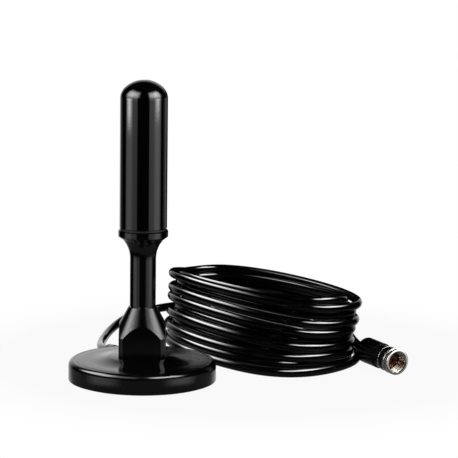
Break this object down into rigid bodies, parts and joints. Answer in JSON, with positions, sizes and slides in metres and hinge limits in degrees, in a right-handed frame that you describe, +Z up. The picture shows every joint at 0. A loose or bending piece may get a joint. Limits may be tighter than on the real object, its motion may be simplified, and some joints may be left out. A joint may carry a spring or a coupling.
{
  "type": "tv antenna",
  "caption": "Black rod tv antenna with a domed gloss tube on a slim flared neck, standing on a round magnetic base, with a coiled coaxial cable and a threaded coaxial plug.",
  "frame": {"origin": "centre of the base's underside, on the surface that the antenna stands on", "axes": "+Z up along the mast, the front looks along -Y, +X to the right where the cable's coil lies"},
  "size_m": [0.1509, 0.1631, 0.1327],
  "materials": {
    "gloss_abs": "mirror gloss",
    "satin_abs": "satin",
    "base_paint": "satin",
    "seal_rubber": "matte",
    "pad_rubber": "matte",
    "natural_nylon": "moulded",
    "copper_wire": "drawn",
    "brass": "turned",
    "tinned_brass": "tinned",
    "zinc_steel": "zinc plated",
    "ferrite": "sintered",
    "cable_pvc": "satin",
    "boot_pvc": "satin",
    "dielectric": "extruded",
    "nickel": "bright nickel plate"
  },
  "bodies": {
    "antenna": {"radome": "gloss_abs", "seal_ring": "seal_rubber", "mast": "gloss_abs", "coil_former": "natural_nylon", "radiator_coil": "copper_wire", "feed_stud": "brass", "foot": "satin_abs", "base_cover": "base_paint", "insulator_bush": "natural_nylon", "solder_lug": "tinned_brass", "lock_washer": "zinc_steel", "stud_nut": "zinc_steel", "ring_magnet": "ferrite", "base_pad": "pad_rubber", "cable_grommet": "cable_pvc", "inner_lead": "cable_pvc", "cable_lead": "cable_pvc", "cable_coil": "cable_pvc", "cable_tail": "cable_pvc", "plug_boot": "boot_pvc", "crimp_sleeve": "nickel", "plug_post": "brass", "plug_insulator": "dielectric", "centre_pin": "copper_wire"},
    "coupling": {"coupling_nut": "nickel", "grip_ring": "boot_pvc"}
  },
  "joints": [
    {"name": "coupling_spin", "type": "hinge", "parent": "antenna", "child": "coupling", "pos_m": [0.1135, 0.0155, 0.00594], "axis": [0.5145, -0.8564, -0.0436], "continuous": true}
  ]
}
